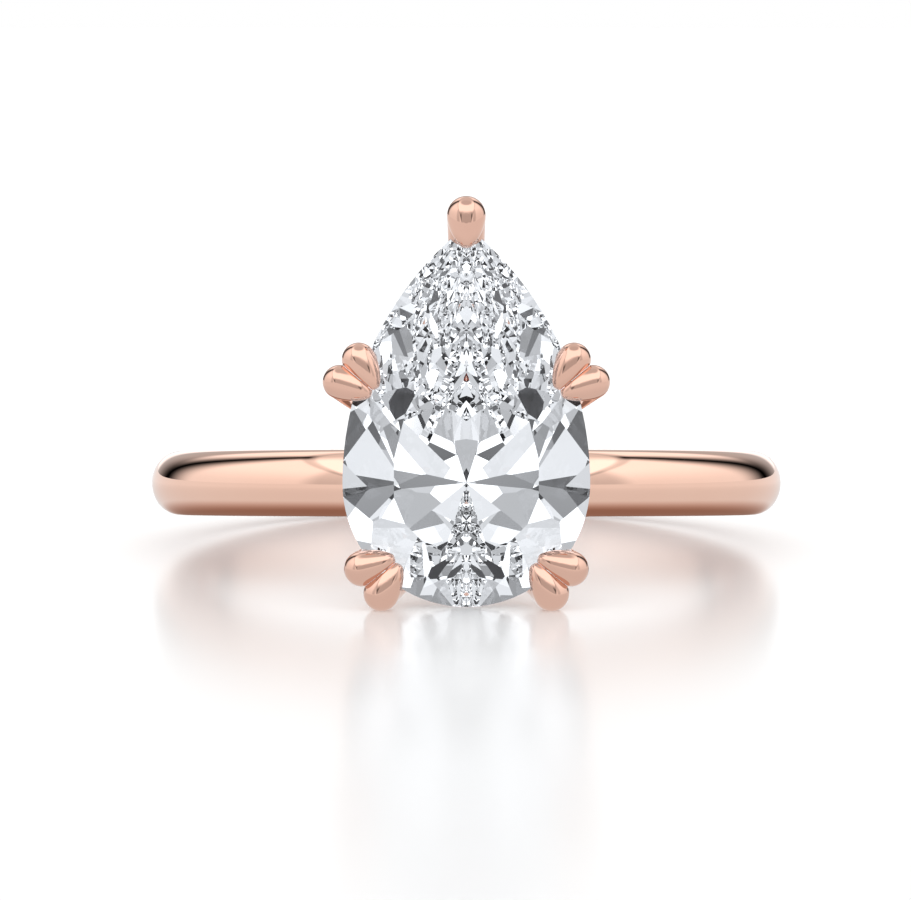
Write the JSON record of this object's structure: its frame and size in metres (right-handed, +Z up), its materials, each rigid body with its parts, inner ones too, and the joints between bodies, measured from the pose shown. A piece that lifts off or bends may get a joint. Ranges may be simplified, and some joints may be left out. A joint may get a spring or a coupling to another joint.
{
  "type": "engagement ring",
  "caption": "Plain domed finger ring with a claw basket that holds one pear-shaped brilliant over the band.",
  "frame": {"origin": "centre of the bounding box in X and Y, on the surface that the ring lies on", "axes": "+Z up as the ring lies on its side, -Y the way that the stone faces, +X to the right of the stone"},
  "size_m": [0.0204, 0.0258, 0.0119],
  "materials": {
    "band_gold": "mirror polished rose gold",
    "setting_gold": "mirror polished rose gold, hand finished claws",
    "diamond": "polished, colourless, brilliant cut facets"
  },
  "bodies": {
    "root": {"shank": "band_gold", "diamond": "diamond", "peg_collet": "setting_gold", "gallery_rail": "setting_gold", "seat_rail": "setting_gold", "point_claw": "setting_gold", "upper_left_claw_a": "setting_gold", "upper_left_claw_b": "setting_gold", "upper_right_claw_a": "setting_gold", "upper_right_claw_b": "setting_gold", "lower_left_claw_a": "setting_gold", "lower_left_claw_b": "setting_gold", "lower_right_claw_a": "setting_gold", "lower_right_claw_b": "setting_gold"}
  },
  "joints": []
}
